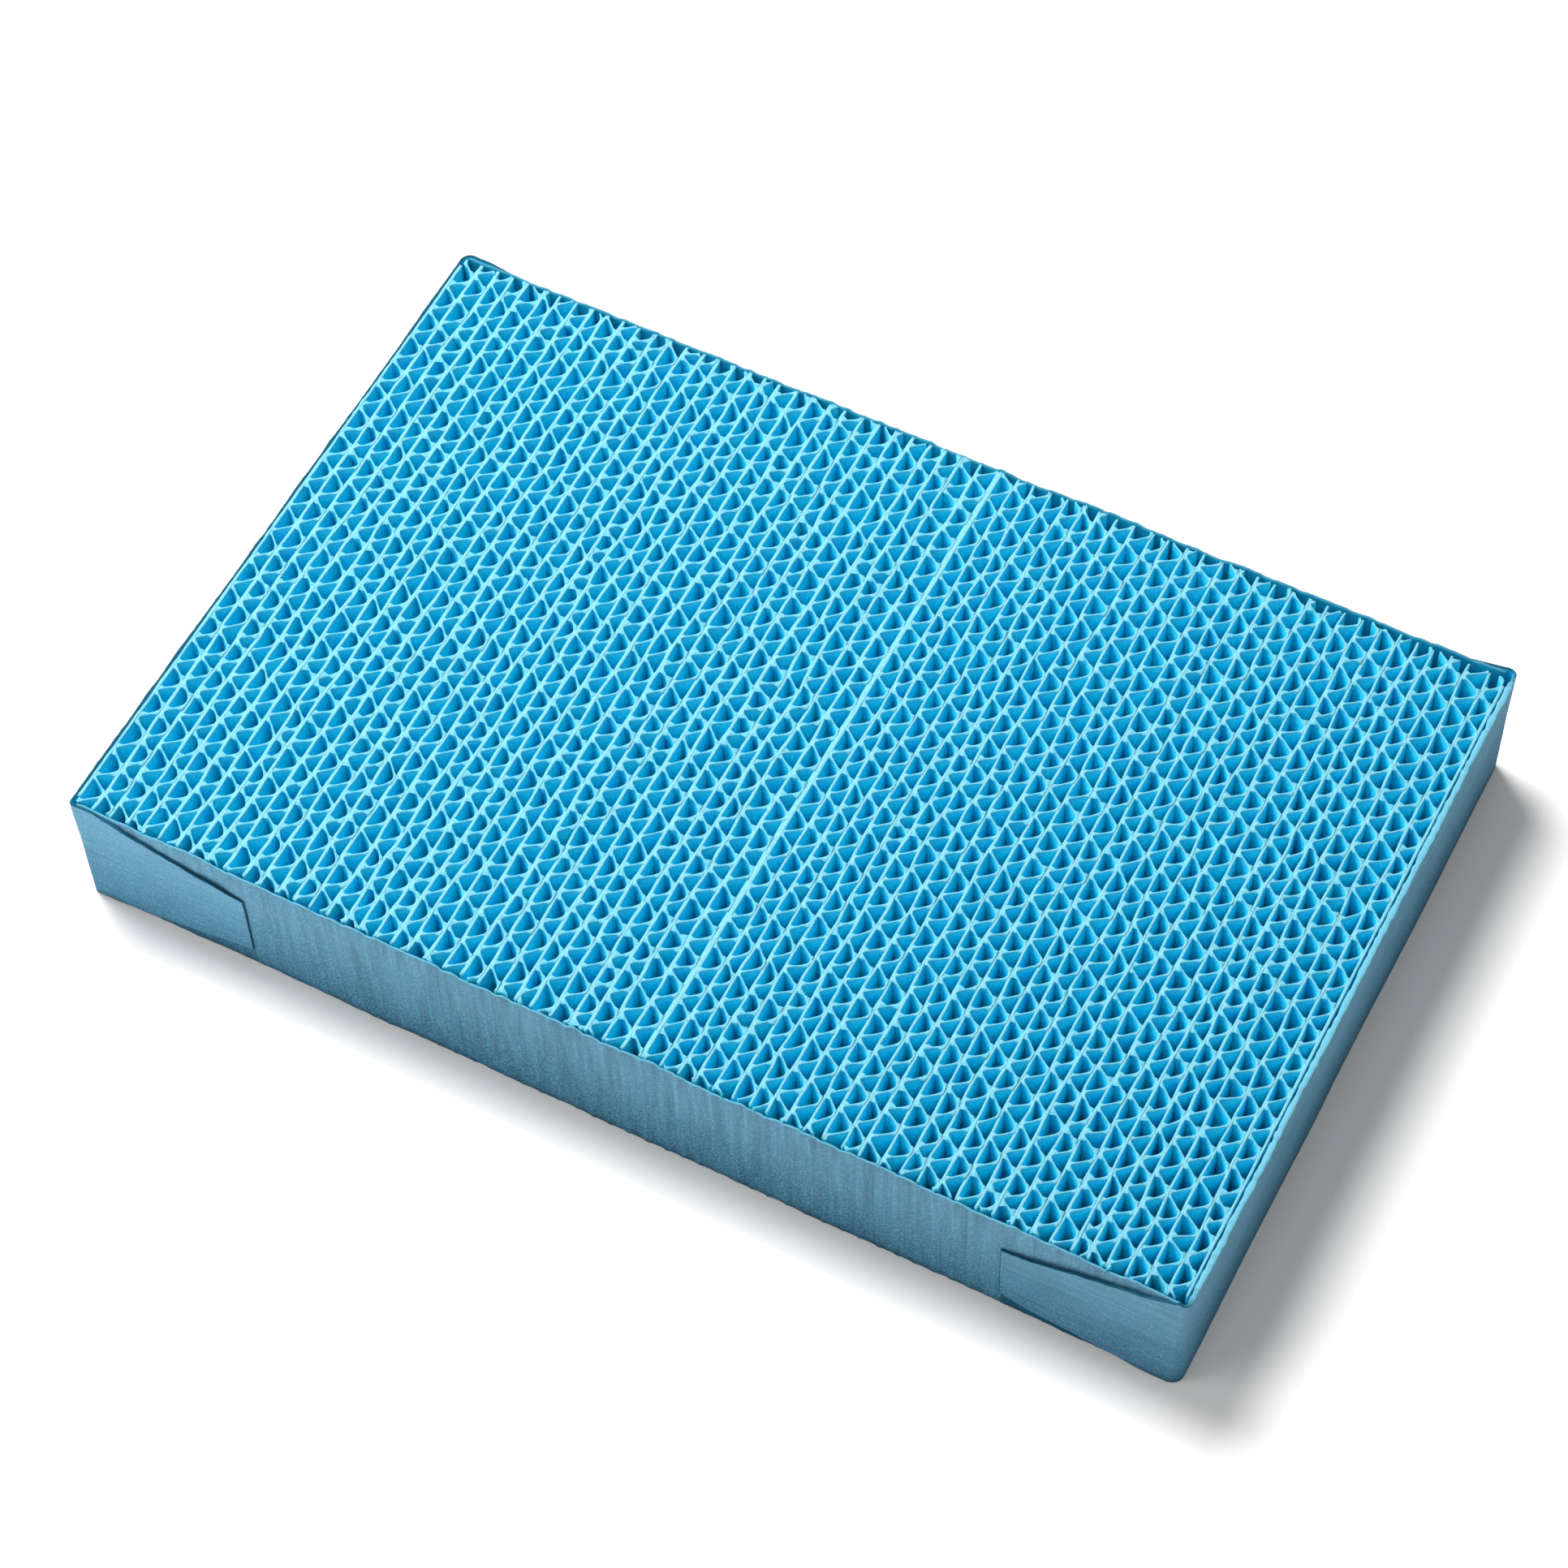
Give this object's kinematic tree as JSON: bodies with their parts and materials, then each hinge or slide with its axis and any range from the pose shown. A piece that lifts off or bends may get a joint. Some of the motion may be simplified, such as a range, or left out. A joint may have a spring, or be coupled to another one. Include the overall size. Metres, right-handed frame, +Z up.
{
  "type": "humidifier wick filter pad",
  "caption": "Rectangular corrugated honeycomb wick pad of blue nonwoven, with flutes running through its depth, strips on the long sides and a tabbed wrap over each end.",
  "frame": {"origin": "middle of the bottom face of the pad", "axes": "+X along the pad, across the liners; +Y along the liners; +Z up, along the flutes"},
  "size_m": [0.242, 0.157, 0.033],
  "materials": {
    "fluted_nonwoven": "matte",
    "liner_nonwoven": "matte",
    "strip_nonwoven": "matte",
    "wrap_nonwoven": "matte"
  },
  "bodies": {
    "root": {"back_side_strip": "strip_nonwoven", "front_side_strip": "strip_nonwoven", "left_block_fluted_sheets_01": "fluted_nonwoven", "left_block_fluted_sheets_02": "fluted_nonwoven", "left_block_fluted_sheets_03": "fluted_nonwoven", "left_block_fluted_sheets_04": "fluted_nonwoven", "left_block_fluted_sheets_05": "fluted_nonwoven", "left_block_fluted_sheets_06": "fluted_nonwoven", "left_block_fluted_sheets_07": "fluted_nonwoven", "left_block_fluted_sheets_08": "fluted_nonwoven", "left_block_fluted_sheets_09": "fluted_nonwoven", "left_block_fluted_sheets_10": "fluted_nonwoven", "left_block_fluted_sheets_11": "fluted_nonwoven", "left_block_fluted_sheets_12": "fluted_nonwoven", "left_block_fluted_sheets_13": "fluted_nonwoven", "left_block_fluted_sheets_14": "fluted_nonwoven", "left_block_fluted_sheets_15": "fluted_nonwoven", "left_block_fluted_sheets_16": "fluted_nonwoven", "left_block_fluted_sheets_17": "fluted_nonwoven", "left_block_liners_01": "liner_nonwoven", "left_block_liners_02": "liner_nonwoven", "left_block_liners_03": "liner_nonwoven", "left_block_liners_04": "liner_nonwoven", "left_block_liners_05": "liner_nonwoven", "left_block_liners_06": "liner_nonwoven", "left_block_liners_07": "liner_nonwoven", "left_block_liners_08": "liner_nonwoven", "left_block_liners_09": "liner_nonwoven", "left_block_liners_10": "liner_nonwoven", "left_block_liners_11": "liner_nonwoven", "left_block_liners_12": "liner_nonwoven", "left_end_wrap": "wrap_nonwoven", "right_block_fluted_sheets_01": "fluted_nonwoven", "right_block_fluted_sheets_02": "fluted_nonwoven", "right_block_fluted_sheets_03": "fluted_nonwoven", "right_block_fluted_sheets_04": "fluted_nonwoven", "right_block_fluted_sheets_05": "fluted_nonwoven", "right_block_fluted_sheets_06": "fluted_nonwoven", "right_block_fluted_sheets_07": "fluted_nonwoven", "right_block_fluted_sheets_08": "fluted_nonwoven", "right_block_fluted_sheets_09": "fluted_nonwoven", "right_block_fluted_sheets_10": "fluted_nonwoven", "right_block_fluted_sheets_11": "fluted_nonwoven", "right_block_fluted_sheets_12": "fluted_nonwoven", "right_block_fluted_sheets_13": "fluted_nonwoven", "right_block_fluted_sheets_14": "fluted_nonwoven", "right_block_fluted_sheets_15": "fluted_nonwoven", "right_block_liners_01": "liner_nonwoven", "right_block_liners_02": "liner_nonwoven", "right_block_liners_03": "liner_nonwoven", "right_block_liners_04": "liner_nonwoven", "right_block_liners_05": "liner_nonwoven", "right_block_liners_06": "liner_nonwoven", "right_block_liners_07": "liner_nonwoven", "right_block_liners_08": "liner_nonwoven", "right_block_liners_09": "liner_nonwoven", "right_block_liners_10": "liner_nonwoven", "right_end_wrap": "wrap_nonwoven"}
  },
  "joints": []
}
